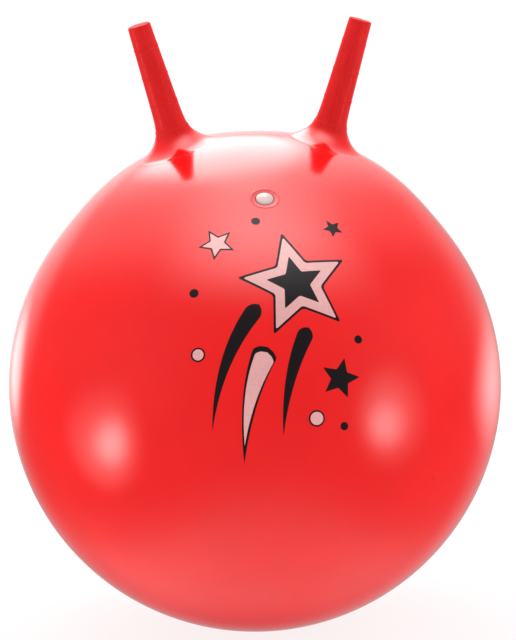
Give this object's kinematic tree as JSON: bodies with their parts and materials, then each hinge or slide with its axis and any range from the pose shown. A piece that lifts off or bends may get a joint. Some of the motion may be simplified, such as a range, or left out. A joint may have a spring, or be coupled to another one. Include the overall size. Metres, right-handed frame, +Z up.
{
  "type": "hopper ball",
  "caption": "Round inflated bouncing ball with upright hollow horns to hold, a push-in air plug and a flat rest on its underside.",
  "frame": {"origin": "centre of the flat that the ball rests on, at floor level", "axes": "+Z up, the side with the valve and the print faces -Y, the left horn is at -X"},
  "size_m": [0.5, 0.5, 0.6202],
  "materials": {
    "skin": "smooth glossy soft vinyl, red, with a printed pattern in black and pale pink",
    "horn": "satin soft vinyl, deeper red, with faint moulded rings",
    "valve_seat": "satin soft vinyl, red",
    "plug": "smooth white soft plastic"
  },
  "bodies": {
    "ball": {"ball_skin": "skin", "left_horn_base": "horn", "right_horn_base": "horn", "valve_seat": "valve_seat"},
    "left_root": {"left_horn_root": "horn"},
    "left_horn": {"left_grip": "horn"},
    "right_root": {"right_horn_root": "horn"},
    "right_horn": {"right_grip": "horn"},
    "plug": {"valve_plug": "plug"}
  },
  "joints": [
    {"name": "left_horn_fore_aft", "type": "hinge", "parent": "ball", "child": "left_root", "pos_m": [-0.07948, 0, 0.51085], "axis": [0.9588, 0, 0.284], "range_deg": [-35, 35], "stiffness_Nm_per_rad": 3, "deforming": ["left_horn_root"]},
    {"name": "left_horn_sideways", "type": "hinge", "parent": "left_root", "child": "left_horn", "pos_m": [-0.0863, 0, 0.53386], "axis": [0, -1, 0], "range_deg": [-25, 25], "stiffness_Nm_per_rad": 3, "deforming": ["left_horn_root"]},
    {"name": "right_horn_fore_aft", "type": "hinge", "parent": "ball", "child": "right_root", "pos_m": [0.07948, 0, 0.51085], "axis": [0.9588, 0, -0.284], "range_deg": [-35, 35], "stiffness_Nm_per_rad": 3, "deforming": ["right_horn_root"]},
    {"name": "right_horn_sideways", "type": "hinge", "parent": "right_root", "child": "right_horn", "pos_m": [0.0863, 0, 0.53386], "axis": [0, 1, 0], "range_deg": [-25, 25], "stiffness_Nm_per_rad": 3, "deforming": ["right_horn_root"]},
    {"name": "plug_pull", "type": "slide", "parent": "ball", "child": "plug", "axis": [0, -0.509, 0.8607], "range_m": [0, 0.02]}
  ]
}
